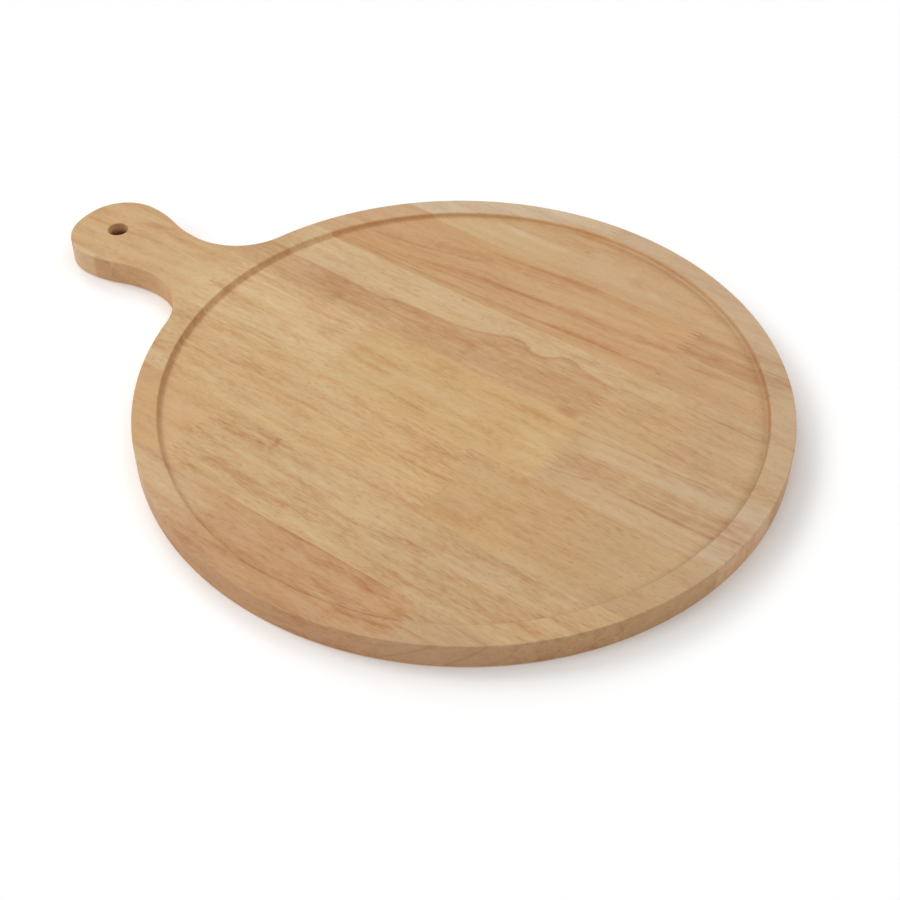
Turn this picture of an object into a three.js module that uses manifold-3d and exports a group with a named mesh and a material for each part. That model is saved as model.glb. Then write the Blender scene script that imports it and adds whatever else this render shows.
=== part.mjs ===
// Round wooden serving board with a raised rim and a waisted handle.
//
// The board is cut from a panel of hardwood staves glued edge to edge. Each stave is made of shorter
// blocks joined end to end by finger joints. Every block is its own solid here, parted from its
// neighbours by the thickness of the glue line.
//
// Millimetres, +Z up. The origin is the middle of the round board, on its underside. The handle
// points along -X.

import * as THREE from 'three';
import { mergeVertices } from 'three/addons/utils/BufferGeometryUtils.js';
import Module from 'manifold-3d';

// Round board
const BOARD_DIAMETER = 350;
const BOARD_THICKNESS = 15;
const EDGE_ROUND = 0.7;

// Shallow recess that leaves a raised rim
const RIM_WIDTH = 13.6;
const RECESS_DEPTH = 3;
const COVE_RADIUS = 1.6;
const RIM_EDGE_ROUND = 1.3;

// Handle, from the round edge of the board to its tip
const HANDLE_LENGTH = 103;
const HANDLE_WIDTH = 58;
const NECK_WIDTH = 41.7;
const ROOT_FILLET = 40;
const TIP_RADIUS = 46;
const TIP_CORNER_RADIUS = 26;

// Hanging hole near the tip
const HANG_HOLE_DIAMETER = 12;
const HANG_HOLE_INSET = 26;
const HANG_HOLE_EDGE_ROUND = 0.6;

// Panel of staves: the grain runs along the handle, turned a little on the finished board
const PANEL_SKEW = THREE.MathUtils.degToRad(-1.5);
const FAR_STAVE_WIDTH = 51.4;
const UPPER_STAVE_WIDTH = 50.8;
const LOWER_STAVE_WIDTH = 52.5;
const NEAR_STAVE_WIDTH = 47;

// The middle stave makes most of the handle. The next staves leave a thin cheek on each side of it,
// this thick at the handle's widest part.
const FAR_CHEEK_THICKNESS = 5.7;
const NEAR_CHEEK_THICKNESS = 3.1;

// Places of the finger joints along the grain, from the middle of the board
const FAR_EDGE_JOINT = -10;
const FAR_JOINT = 75;
const UPPER_JOINT = 63;
const MIDDLE_LEFT_JOINT = -72;
const MIDDLE_RIGHT_JOINT = 66;
const LOWER_JOINT = 31;
const NEAR_JOINT = -94;
const NEAR_EDGE_JOINT = 71;

// The handle's joint lies this far inside the round edge
const HANDLE_JOINT_INSET = 4;

// Finger joints, and the glue line that parts all blocks
const FINGER_LENGTH = 5.5;
const FINGER_PITCH = 3;
const FINGER_TIP = 0.7;
const GLUE_LINE = 0.2;

// Facets
const DISC_SEGMENTS = 120;
const FILLET_SEGMENTS = 10;
const EDGE_SEGMENTS = 2;
const COVE_SEGMENTS = 3;
const HOLE_SEGMENTS = 24;

// Points of a geometry that lie closer than this are one point of its solid
const WELD_DISTANCE = 1e-5;

// Cutters and uncut blocks reach this far past the faces they cut through
const CUT_MARGIN = 4;

const boardRadius = BOARD_DIAMETER / 2;
const handleReach = boardRadius + HANDLE_LENGTH;
const neckHalf = NECK_WIDTH / 2;
const bulbHalf = HANDLE_WIDTH / 2;
const tipCentreX = -handleReach + TIP_RADIUS;
const holeX = -handleReach + HANG_HOLE_INSET;

// The fillet at the handle's root touches the neck's side and the round edge
const rootFilletY = neckHalf + ROOT_FILLET;
const neckX = -Math.sqrt((boardRadius + ROOT_FILLET) ** 2 - rootFilletY ** 2);

// Each corner of the tip lies inside the tip's arc and touches the widest part of the handle
const cornerY = bulbHalf - TIP_CORNER_RADIUS;
const cornerX = tipCentreX - Math.sqrt((TIP_RADIUS - TIP_CORNER_RADIUS) ** 2 - cornerY ** 2);

// Two equal arcs swing from the widest part down to the neck
const swingLength = neckX - cornerX;
const swingDrop = bulbHalf - neckHalf;
const swingRadius = (swingLength ** 2 + swingDrop ** 2) / (4 * swingDrop);

const wasm = await Module();
wasm.setup();

function toSolid(geometry) {
  const bare = geometry.clone();
  bare.deleteAttribute('normal');
  bare.deleteAttribute('uv');
  const merged = mergeVertices(bare, WELD_DISTANCE);
  const vertProperties = new Float32Array(merged.attributes.position.array);
  const triVerts = new Uint32Array(merged.index.array);
  return new wasm.Manifold(new wasm.Mesh({ numProp: 3, vertProperties, triVerts }));
}

function toGeometry(solid) {
  const mesh = solid.getMesh();
  const geometry = new THREE.BufferGeometry();
  geometry.setAttribute('position', new THREE.BufferAttribute(new Float32Array(mesh.vertProperties), 3));
  geometry.setIndex(new THREE.BufferAttribute(new Uint32Array(mesh.triVerts), 1));
  geometry.computeVertexNormals();
  return geometry;
}

// Points of an arc from one angle to another, both ends included
function arcPoints(centreX, centreY, radius, fromAngle, toAngle, segments) {
  const points = [];
  for (let i = 0; i <= segments; i += 1) {
    const angle = fromAngle + ((toAngle - fromAngle) * i) / segments;
    points.push(new THREE.Vector2(centreX + radius * Math.cos(angle), centreY + radius * Math.sin(angle)));
  }
  return points;
}

// Upper half of the outline, from the far side of the round edge to the tip of the handle
function upperOutline() {
  const rootAngle = Math.atan2(rootFilletY, neckX);
  const swingAngle = 2 * Math.atan2(swingDrop, swingLength);
  const tipAngle = Math.atan2(cornerY, cornerX - tipCentreX);
  const quarter = Math.PI / 2;
  const arcs = [
    arcPoints(0, 0, boardRadius, 0, rootAngle, DISC_SEGMENTS / 2),
    arcPoints(neckX, rootFilletY, ROOT_FILLET, rootAngle - Math.PI, -quarter, FILLET_SEGMENTS),
    arcPoints(neckX, neckHalf + swingRadius, swingRadius, -quarter, -quarter - swingAngle, FILLET_SEGMENTS / 2),
    arcPoints(cornerX, bulbHalf - swingRadius, swingRadius, quarter - swingAngle, quarter, FILLET_SEGMENTS / 2),
    arcPoints(cornerX, cornerY, TIP_CORNER_RADIUS, quarter, tipAngle, FILLET_SEGMENTS),
    arcPoints(tipCentreX, 0, TIP_RADIUS, tipAngle, Math.PI, FILLET_SEGMENTS / 2),
  ];
  // Neighbouring arcs share an end, so each later arc leaves out its first point
  return arcs.flatMap((arc, i) => (i === 0 ? arc : arc.slice(1)));
}

// Board and handle in one piece, with rounded outer edges
function makeBlank() {
  const upper = upperOutline();
  const lower = upper.slice(1, -1).reverse().map((p) => new THREE.Vector2(p.x, -p.y));
  const geometry = new THREE.ExtrudeGeometry(new THREE.Shape([...upper, ...lower]), {
    depth: BOARD_THICKNESS - 2 * EDGE_ROUND,
    bevelEnabled: true,
    bevelThickness: EDGE_ROUND,
    bevelSize: EDGE_ROUND,
    bevelOffset: -EDGE_ROUND,
    bevelSegments: EDGE_SEGMENTS,
  });
  geometry.translate(0, 0, EDGE_ROUND);
  return toSolid(geometry);
}

// A profile of radius and height, turned about the Z axis
function turned(profile, segments) {
  const geometry = new THREE.LatheGeometry(profile, segments);
  geometry.rotateX(Math.PI / 2);
  return toSolid(geometry);
}

// Round recess: flat floor, coved foot, and a softened edge where it meets the rim
function recessCutter() {
  const radius = boardRadius - RIM_WIDTH;
  const floor = BOARD_THICKNESS - RECESS_DEPTH;
  const cove = Math.min(COVE_RADIUS, RECESS_DEPTH - RIM_EDGE_ROUND);
  const lipZ = BOARD_THICKNESS - RIM_EDGE_ROUND;
  const lipRadius = radius + RIM_EDGE_ROUND;
  const quarter = Math.PI / 2;
  return turned([
    new THREE.Vector2(0, floor),
    ...arcPoints(radius - cove, floor + cove, cove, -quarter, 0, COVE_SEGMENTS),
    ...arcPoints(lipRadius, lipZ, RIM_EDGE_ROUND, Math.PI, quarter, EDGE_SEGMENTS),
    new THREE.Vector2(lipRadius, BOARD_THICKNESS + CUT_MARGIN),
    new THREE.Vector2(0, BOARD_THICKNESS + CUT_MARGIN),
  ], DISC_SEGMENTS);
}

// Hanging hole with a softened edge on both faces
function holeCutter() {
  const radius = HANG_HOLE_DIAMETER / 2;
  const lipRadius = radius + HANG_HOLE_EDGE_ROUND;
  const topLipZ = BOARD_THICKNESS - HANG_HOLE_EDGE_ROUND;
  const quarter = Math.PI / 2;
  const cutter = turned([
    new THREE.Vector2(0, -CUT_MARGIN),
    new THREE.Vector2(lipRadius, -CUT_MARGIN),
    ...arcPoints(lipRadius, HANG_HOLE_EDGE_ROUND, HANG_HOLE_EDGE_ROUND, -quarter, -Math.PI, EDGE_SEGMENTS),
    ...arcPoints(lipRadius, topLipZ, HANG_HOLE_EDGE_ROUND, Math.PI, quarter, EDGE_SEGMENTS),
    new THREE.Vector2(lipRadius, BOARD_THICKNESS + CUT_MARGIN),
    new THREE.Vector2(0, BOARD_THICKNESS + CUT_MARGIN),
  ], HOLE_SEGMENTS);
  return cutter.translate([holeX, 0, 0]);
}

// One side of a finger joint across a stave, from its lower to its upper edge. The fingers point
// along the grain; offset moves the whole line into one block or the other.
function fingerLine(joint, lower, upper, offset) {
  const from = Math.max(lower, -joint.reach);
  const to = Math.min(upper, joint.reach);
  const count = Math.max(0, Math.floor((to - from) / FINGER_PITCH));
  const first = (from + to) / 2 - ((count - 1) * FINGER_PITCH) / 2;
  const root = joint.at - FINGER_LENGTH / 2 + offset;
  const tip = joint.at + FINGER_LENGTH / 2 + offset;
  const rootHalf = (FINGER_PITCH - FINGER_TIP) / 2 + offset;
  const tipHalf = FINGER_TIP / 2 + offset;
  const points = [new THREE.Vector2(root, lower)];
  for (let i = 0; i < count; i += 1) {
    const middle = first + i * FINGER_PITCH;
    points.push(new THREE.Vector2(root, middle - rootHalf));
    points.push(new THREE.Vector2(tip, middle - tipHalf));
    points.push(new THREE.Vector2(tip, middle + tipHalf));
    points.push(new THREE.Vector2(root, middle + rootHalf));
  }
  points.push(new THREE.Vector2(root, upper));
  return points;
}

// A plain end across a stave
function plainLine(at, lower, upper) {
  return [new THREE.Vector2(at, lower), new THREE.Vector2(at, upper)];
}

// A squared block of a stave before the board is cut out of the panel. Each end is a finger joint,
// a butt joint, or an end that runs past the board.
function uncutBlock(stave, start, end) {
  const half = GLUE_LINE / 2;
  const lower = stave.lower + half;
  const upper = stave.upper - half;
  const endLine = end.fingers
    ? fingerLine(end, lower, upper, -half)
    : plainLine(end.at - half, lower, upper);
  const startLine = start.fingers
    ? fingerLine(start, lower, upper, half)
    : plainLine(start.at + half, lower, upper);
  const geometry = new THREE.ExtrudeGeometry(new THREE.Shape([...endLine, ...startLine.reverse()]), {
    depth: BOARD_THICKNESS + 2 * CUT_MARGIN,
    bevelEnabled: false,
  });
  geometry.translate(0, 0, -CUT_MARGIN);
  geometry.rotateZ(PANEL_SKEW);
  return toSolid(geometry);
}

// A finger joint in the round board. Its fingers stop short of the round edge.
function boardJoint(at) {
  const farthest = Math.abs(at) + FINGER_LENGTH / 2 + GLUE_LINE;
  const reach = Math.sqrt(Math.max(0, boardRadius ** 2 - farthest ** 2));
  return { at, fingers: true, reach };
}

// The joint at the handle's root, where the wood is wider than the stave
const handleJoint = { at: HANDLE_JOINT_INSET - boardRadius, fingers: true, reach: boardRadius };

// Where the waist comes in past a stave's edge, the cheek of the handle is parted from the board
const waist = { at: neckX, fingers: false };

const panelEnd = handleReach + CUT_MARGIN;
const openLeft = { at: -panelEnd, fingers: false };
const openRight = { at: panelEnd, fingers: false };

// Seams between the staves, measured across the grain. The two seams of the middle stave leave the
// cheeks at the handle's widest part.
const widestDrift = -cornerX * Math.sin(PANEL_SKEW);
const upperSeam = (bulbHalf - FAR_CHEEK_THICKNESS) * Math.cos(PANEL_SKEW) + widestDrift;
const farSeam = upperSeam + UPPER_STAVE_WIDTH;
const farEdgeSeam = farSeam + FAR_STAVE_WIDTH;
const lowerSeam = (NEAR_CHEEK_THICKNESS - bulbHalf) * Math.cos(PANEL_SKEW) + widestDrift;
const nearSeam = lowerSeam - LOWER_STAVE_WIDTH;
const nearEdgeSeam = nearSeam - NEAR_STAVE_WIDTH;

// Staves from the far edge to the near edge, with the places of their joints along the grain and the
// colours of their blocks. The outermost staves run past the round edge.
const STAVES = [
  {
    lower: farEdgeSeam,
    upper: panelEnd,
    joints: [boardJoint(FAR_EDGE_JOINT)],
    blocks: [['far_edge_block_left', 0xd6b184], ['far_edge_block_right', 0xd3ab7c]],
  },
  {
    lower: farSeam,
    upper: farEdgeSeam,
    joints: [boardJoint(FAR_JOINT)],
    blocks: [['far_block_left', 0xd2a570], ['far_block_right', 0xcfa077]],
  },
  {
    lower: upperSeam,
    upper: farSeam,
    joints: [waist, boardJoint(UPPER_JOINT)],
    blocks: [
      ['handle_cheek_far', 0xcda277],
      ['upper_block_left', 0xd4aa76],
      ['upper_block_right', 0xd2ab7c],
    ],
  },
  {
    lower: lowerSeam,
    upper: upperSeam,
    joints: [handleJoint, boardJoint(MIDDLE_LEFT_JOINT), boardJoint(MIDDLE_RIGHT_JOINT)],
    blocks: [
      ['handle_block', 0xd1a673],
      ['middle_block_left', 0xd6ae78],
      ['middle_block_centre', 0xd4aa75],
      ['middle_block_right', 0xcfa276],
    ],
  },
  {
    lower: nearSeam,
    upper: lowerSeam,
    joints: [waist, boardJoint(LOWER_JOINT)],
    blocks: [
      ['handle_cheek_near', 0xd8b68b],
      ['lower_block_left', 0xd0a473],
      ['lower_block_right', 0xd2a878],
    ],
  },
  {
    lower: nearEdgeSeam,
    upper: nearSeam,
    joints: [boardJoint(NEAR_JOINT)],
    blocks: [['near_block_left', 0xcb9c70], ['near_block_right', 0xd5b07c]],
  },
  {
    lower: -panelEnd,
    upper: nearEdgeSeam,
    joints: [boardJoint(NEAR_EDGE_JOINT)],
    blocks: [['near_edge_block_left', 0xc99a6d], ['near_edge_block_right', 0xd4ad7d]],
  },
];

const WOOD_ROUGHNESS = 0.55;
const board = makeBlank().subtract(recessCutter()).subtract(holeCutter());
const group = new THREE.Group();
group.name = 'serving_board';

for (const stave of STAVES) {
  const ends = [openLeft, ...stave.joints, openRight];
  stave.blocks.forEach(([name, color], i) => {
    const solid = board.intersect(uncutBlock(stave, ends[i], ends[i + 1]));
    // A stave that lies wholly outside a smaller board leaves no block
    if (solid.isEmpty()) {
      return;
    }
    const material = new THREE.MeshStandardMaterial({ color, roughness: WOOD_ROUGHNESS, metalness: 0 });
    const block = new THREE.Mesh(toGeometry(solid), material);
    block.name = name;
    group.add(block);
  });
}

export default group;
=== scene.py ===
# %% [markdown]
# # A round serving board in solid wood
#
# The board is cut from a panel of hardwood staves that are glued edge to edge, and each stave is
# made of shorter blocks joined end to end by finger joints. The CAD model already has one solid
# for each block. Here every block gets a finer mesh in the same place and its own piece of wood.

# %% Load the frame
from math import atan2, cos, pi, radians, sin, sqrt

import bmesh
import bpy
from mathutils import Matrix, Vector


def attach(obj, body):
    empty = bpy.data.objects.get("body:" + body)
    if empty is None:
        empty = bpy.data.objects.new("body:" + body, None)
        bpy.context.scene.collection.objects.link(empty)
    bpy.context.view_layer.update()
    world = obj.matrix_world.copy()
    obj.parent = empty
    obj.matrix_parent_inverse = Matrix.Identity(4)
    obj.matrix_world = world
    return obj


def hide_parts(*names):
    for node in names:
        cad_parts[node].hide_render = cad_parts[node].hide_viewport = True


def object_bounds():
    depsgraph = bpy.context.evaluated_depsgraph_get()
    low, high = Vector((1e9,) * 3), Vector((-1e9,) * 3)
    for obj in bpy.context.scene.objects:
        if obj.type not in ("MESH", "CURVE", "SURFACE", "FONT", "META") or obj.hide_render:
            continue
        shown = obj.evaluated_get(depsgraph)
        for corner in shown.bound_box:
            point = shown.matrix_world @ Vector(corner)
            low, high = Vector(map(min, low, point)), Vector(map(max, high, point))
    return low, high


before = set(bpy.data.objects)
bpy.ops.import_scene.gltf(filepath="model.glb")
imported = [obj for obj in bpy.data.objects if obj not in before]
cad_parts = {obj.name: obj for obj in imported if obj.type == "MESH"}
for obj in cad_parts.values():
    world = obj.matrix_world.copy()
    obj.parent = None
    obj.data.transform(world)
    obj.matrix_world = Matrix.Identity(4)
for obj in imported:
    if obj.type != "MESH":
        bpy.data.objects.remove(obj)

MM = 0.001
cad_low, cad_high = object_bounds()
thickness = cad_high.z - cad_low.z
board_radius = min(cad_high.x, cad_high.y)
handle_reach = -cad_low.x
print(f"board {2 * board_radius / MM:.1f} mm across, {thickness / MM:.1f} mm thick")
print(f"handle tip {handle_reach / MM:.1f} mm from the middle of the board")

# %% [markdown]
# ## The outline
# A maker saws the outline of board and handle from the panel in one go. It is made only of arcs
# that run smoothly into each other: the round board, a fillet at the handle's root, two equal
# arcs that swing out to the widest part of the handle, and the blunt tip with its two corners.
# In Blender it could be a curve or a list of points. Spinning one vertex through arc after arc
# gives the same line exactly, and each arc needs only a centre and an angle.

# %% Sizes of the handle
HANDLE_WIDTH = 58 * MM
NECK_WIDTH = 41.7 * MM
ROOT_FILLET = 40 * MM
TIP_RADIUS = 46 * MM
TIP_CORNER_RADIUS = 26 * MM

neck_half = NECK_WIDTH / 2
bulb_half = HANDLE_WIDTH / 2
root_y = neck_half + ROOT_FILLET
neck_x = -sqrt((board_radius + ROOT_FILLET) ** 2 - root_y ** 2)
tip_x = TIP_RADIUS - handle_reach
corner_y = bulb_half - TIP_CORNER_RADIUS
corner_x = tip_x - sqrt((TIP_RADIUS - TIP_CORNER_RADIUS) ** 2 - corner_y ** 2)
swing_run = neck_x - corner_x
swing_drop = bulb_half - neck_half
swing_radius = (swing_run ** 2 + swing_drop ** 2) / (4 * swing_drop)
print(f"the waist lies {-neck_x / MM:.1f} mm from the middle of the board")

# %% Two moves for drawing a wire: an arc and a straight step
UP = Vector((0, 0, 1))


def arc(bm, end, centre, turn, steps, axis=UP):
    """Spin the loose end of a wire through an arc and return its new loose end."""
    spun = bmesh.ops.spin(bm, geom=[end], cent=centre, axis=axis, angle=turn, steps=steps)
    return next(part for part in spun["geom_last"] if isinstance(part, bmesh.types.BMVert))


def step(bm, end, move):
    """Draw a straight step from the loose end of a wire and return its new loose end."""
    grown = bmesh.ops.extrude_vert_indiv(bm, verts=[end])["verts"][0]
    bmesh.ops.translate(bm, verts=[grown], vec=move)
    return grown


# %% Draw one half of the outline, mirror it and fill it
ROUND_STEPS = 164
FILLET_STEPS = 26
SWING_STEPS = 14
WELD = 0.0005 * MM


def outline_face(bm):
    root_angle = atan2(root_y, neck_x)
    swing_angle = 2 * atan2(swing_drop, swing_run)
    tip_angle = atan2(corner_y, corner_x - tip_x)
    end = bm.verts.new((board_radius, 0, 0))
    end = arc(bm, end, (0, 0, 0), root_angle, ROUND_STEPS)
    end = arc(bm, end, (neck_x, root_y, 0), pi / 2 - root_angle, FILLET_STEPS)
    end = arc(bm, end, (neck_x, neck_half + swing_radius, 0), -swing_angle, SWING_STEPS)
    end = arc(bm, end, (corner_x, bulb_half - swing_radius, 0), swing_angle, SWING_STEPS)
    end = arc(bm, end, (corner_x, corner_y, 0), tip_angle - pi / 2, FILLET_STEPS)
    arc(bm, end, (tip_x, 0, 0), pi - tip_angle, SWING_STEPS)
    half = bm.verts[:] + bm.edges[:]
    bmesh.ops.mirror(bm, geom=half, matrix=Matrix.Identity(4), merge_dist=WELD, axis="Y")
    bmesh.ops.remove_doubles(bm, verts=bm.verts, dist=WELD)
    bmesh.ops.edgeloop_fill(bm, edges=bm.edges)


# %% [markdown]
# ## The blank, the recess and the hanging hole
# After sawing, the outer edge is rounded over with a router bit. A second bit with a round corner
# clears the shallow recess and leaves the rim, and a drill makes the hanging hole. So the blank is
# the outline pulled up to the board's thickness, with a bevel on both rims, and the two cutters
# are profiles spun about their axes, as the bits themselves turn.

# %% Pull the outline up and round its edges
EDGE_ROUND = 0.7 * MM
EDGE_STEPS = 4


def new_object(name, bm):
    """Turn a bmesh into an object of the scene."""
    mesh = bpy.data.meshes.new(name)
    bm.to_mesh(mesh)
    bm.free()
    made = bpy.data.objects.new(name, mesh)
    bpy.context.scene.collection.objects.link(made)
    return made


def pull_up(bm, height):
    """Extrude all faces straight up and turn every face outwards."""
    pulled = bmesh.ops.extrude_face_region(bm, geom=bm.faces[:])["geom"]
    raised = [part for part in pulled if isinstance(part, bmesh.types.BMVert)]
    bmesh.ops.translate(bm, verts=raised, vec=UP * height)
    bmesh.ops.recalc_face_normals(bm, faces=bm.faces)


def make_blank():
    bm = bmesh.new()
    outline_face(bm)
    pull_up(bm, thickness)
    flat = [edge for edge in bm.edges if abs(edge.verts[0].co.z - edge.verts[1].co.z) < WELD]
    bmesh.ops.bevel(
        bm, geom=flat, offset=EDGE_ROUND, offset_type="OFFSET", affect="EDGES",
        segments=EDGE_STEPS, profile=0.5, material=-1,
    )
    return new_object("board_blank", bm)


blank = make_blank()
print(f"blank: {len(blank.data.polygons)} faces")

# %% Spin the two cutters
RIM_WIDTH = 13.6 * MM
RECESS_DEPTH = 3 * MM
COVE_RADIUS = 1.6 * MM
RIM_EDGE_ROUND = 1.3 * MM
HOLE_RADIUS = 6 * MM
HOLE_INSET = 26 * MM
HOLE_EDGE_ROUND = 0.6 * MM
CUT_MARGIN = 4 * MM
COVE_STEPS = 7
LIP_STEPS = 4
RECESS_STEPS = 360
HOLE_STEPS = 64
ACROSS = Vector((1, 0, 0))
ASIDE = Vector((0, 1, 0))

recess_radius = board_radius - RIM_WIDTH
floor_height = thickness - RECESS_DEPTH
hole_place = Vector((HOLE_INSET - handle_reach, 0, 0))


def turn_round(bm, steps):
    """Spin the drawn profile once about the upright axis and close it."""
    bmesh.ops.spin(
        bm, geom=bm.verts[:] + bm.edges[:], cent=(0, 0, 0), axis=UP,
        angle=2 * pi, steps=steps, use_merge=True,
    )
    bmesh.ops.remove_doubles(bm, verts=bm.verts, dist=WELD)
    bmesh.ops.recalc_face_normals(bm, faces=bm.faces)


def recess_cutter():
    bm = bmesh.new()
    cove_x = recess_radius - COVE_RADIUS
    cove_z = floor_height + COVE_RADIUS
    lip_x = recess_radius + RIM_EDGE_ROUND
    lip_z = thickness - RIM_EDGE_ROUND
    end = bm.verts.new((0, 0, floor_height))
    end = step(bm, end, ACROSS * cove_x)
    end = arc(bm, end, (cove_x, 0, cove_z), pi / 2, COVE_STEPS, -ASIDE)
    end = step(bm, end, UP * (lip_z - cove_z))
    end = arc(bm, end, (lip_x, 0, lip_z), pi / 2, LIP_STEPS, ASIDE)
    end = step(bm, end, UP * CUT_MARGIN)
    step(bm, end, -ACROSS * lip_x)
    turn_round(bm, RECESS_STEPS)
    return new_object("recess_cutter", bm)


def hole_cutter():
    bm = bmesh.new()
    lip_x = HOLE_RADIUS + HOLE_EDGE_ROUND
    end = bm.verts.new((0, 0, -CUT_MARGIN))
    end = step(bm, end, ACROSS * lip_x)
    end = step(bm, end, UP * CUT_MARGIN)
    end = arc(bm, end, (lip_x, 0, HOLE_EDGE_ROUND), pi / 2, LIP_STEPS, ASIDE)
    end = step(bm, end, UP * (thickness - 2 * HOLE_EDGE_ROUND))
    end = arc(bm, end, (lip_x, 0, thickness - HOLE_EDGE_ROUND), pi / 2, LIP_STEPS, ASIDE)
    end = step(bm, end, UP * CUT_MARGIN)
    step(bm, end, -ACROSS * lip_x)
    turn_round(bm, HOLE_STEPS)
    bmesh.ops.translate(bm, verts=bm.verts, vec=hole_place)
    return new_object("hole_cutter", bm)


# %% Cut the recess and the hole
def carve(body, tool, operation):
    """Work one Boolean modifier into a body's mesh and throw the tool away."""
    cut = body.modifiers.new("carve", "BOOLEAN")
    cut.operation = operation
    cut.solver = "EXACT"
    cut.object = tool
    shaped = body.evaluated_get(bpy.context.evaluated_depsgraph_get())
    carved = bpy.data.meshes.new_from_object(shaped)
    body.modifiers.clear()
    body.data = carved
    bpy.data.objects.remove(tool)


carve(blank, recess_cutter(), "DIFFERENCE")
carve(blank, hole_cutter(), "DIFFERENCE")
print(f"cut board: {len(blank.data.polygons)} faces")

# %% [markdown]
# ## Staves and finger joints
# The panel was glued up before the outline was sawn, so its seams run straight across board,
# rim and handle. The finished board sits a little askew on its panel. Each joint within a stave is
# a row of pointed fingers. One block could be cut from its neighbour with a thin comb, but then
# the loose parts have to be told apart again. It is plainer to make a squared block with fingered
# ends and keep what it shares with the board.

# %% Sizes of the panel
PANEL_SKEW = radians(-1.5)
FAR_CHEEK = 5.7 * MM
NEAR_CHEEK = 3.1 * MM
UPPER_WIDTH = 50.8 * MM
FAR_WIDTH = 51.4 * MM
LOWER_WIDTH = 52.5 * MM
NEAR_WIDTH = 47 * MM
FINGER_LENGTH = 5.5 * MM
FINGER_PITCH = 3 * MM
FINGER_TIP = 0.7 * MM
FINGER_MARGIN = 0.2 * MM
GLUE_LINE = 0.012 * MM

drift = -corner_x * sin(PANEL_SKEW)
upper_seam = (bulb_half - FAR_CHEEK) * cos(PANEL_SKEW) + drift
far_seam = upper_seam + UPPER_WIDTH
far_edge_seam = far_seam + FAR_WIDTH
lower_seam = (NEAR_CHEEK - bulb_half) * cos(PANEL_SKEW) + drift
near_seam = lower_seam - LOWER_WIDTH
near_edge_seam = near_seam - NEAR_WIDTH
panel_end = handle_reach + CUT_MARGIN
seams = (near_edge_seam, near_seam, lower_seam, upper_seam, far_seam, far_edge_seam)
print("seams across the grain, mm:", [round(seam / MM, 1) for seam in seams])


# %% The end of a block: fingered or plain
def plain_end(bm, at, lower, upper):
    """Draw a straight end and return its lower and upper vertex."""
    low = bm.verts.new((at, lower, 0))
    return low, step(bm, low, ASIDE * (upper - lower))


def fingered_end(bm, at, lower, upper, reach, slack):
    """Draw one finger, repeat it across the stave and return the lower and upper vertex."""
    low_reach = max(lower, -reach)
    high_reach = min(upper, reach)
    count = int((high_reach - low_reach) / FINGER_PITCH)
    first = (low_reach + high_reach - (count - 1) * FINGER_PITCH) / 2
    root_half = (FINGER_PITCH - FINGER_TIP) / 2 + slack
    tip_half = FINGER_TIP / 2 + slack
    flank = ACROSS * FINGER_LENGTH + ASIDE * (root_half - tip_half)
    back = -ACROSS * FINGER_LENGTH + ASIDE * (root_half - tip_half)
    old = set(bm.verts)
    low = bm.verts.new((at - FINGER_LENGTH / 2 + slack, lower, 0))
    start = step(bm, low, ASIDE * (first - root_half - lower))
    finger = [start]
    for move in (flank, ASIDE * 2 * tip_half, back, ASIDE * (FINGER_PITCH - 2 * root_half)):
        finger.append(step(bm, finger[-1], move))
    edges = [edge for edge in bm.edges if edge.verts[0] in finger and edge.verts[1] in finger]
    bmesh.ops.spin(
        bm, geom=finger + edges, cent=(0, 0, 0), axis=UP, angle=0,
        dvec=ASIDE * FINGER_PITCH, steps=count - 1, use_duplicate=True,
    )
    drawn = [vert for vert in bm.verts if vert not in old]
    bmesh.ops.remove_doubles(bm, verts=drawn, dist=WELD)
    drawn = [vert for vert in bm.verts if vert not in old]
    high = max(drawn, key=lambda vert: vert.co.y)
    high.co.y = upper
    return min(drawn, key=lambda vert: vert.co.y), high


# %% A squared block between two ends
def round_reach(at):
    """How far from the middle the fingers of a joint stay inside the round board."""
    farthest = abs(at) + FINGER_LENGTH / 2 + FINGER_MARGIN
    return sqrt(board_radius ** 2 - farthest ** 2)


def squared_block(lower, upper, start, end):
    """Start and end are pairs: the joint's place along the grain, and whether it has fingers."""
    bm = bmesh.new()
    low = lower + GLUE_LINE / 2
    high = upper - GLUE_LINE / 2
    corners = []
    for (at, fingers), slack in ((start, GLUE_LINE / 2), (end, -GLUE_LINE / 2)):
        if fingers:
            corners.append(fingered_end(bm, at, low, high, fingers, slack))
        else:
            corners.append(plain_end(bm, at + slack, low, high))
    bm.edges.new((corners[0][0], corners[1][0]))
    bm.edges.new((corners[0][1], corners[1][1]))
    bmesh.ops.edgeloop_fill(bm, edges=bm.edges)
    bmesh.ops.translate(bm, verts=bm.verts, vec=-UP * CUT_MARGIN)
    pull_up(bm, thickness + 2 * CUT_MARGIN)
    askew = Matrix.Rotation(PANEL_SKEW, 3, "Z")
    bmesh.ops.rotate(bm, verts=bm.verts, cent=(0, 0, 0), matrix=askew)
    return new_object("squared_block", bm)


# %% The joints of each stave and the blocks between them
SMOOTH_ANGLE = radians(30)
HANDLE_JOINT_INSET = 4 * MM

open_left = (-panel_end, 0)
open_right = (panel_end, 0)
waist = (neck_x, 0)
handle_joint = (HANDLE_JOINT_INSET - board_radius, board_radius)


def board_joint(place):
    """A finger joint at a place along the grain, in millimetres."""
    return (place * MM, round_reach(place * MM))


blocks = {}


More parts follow.
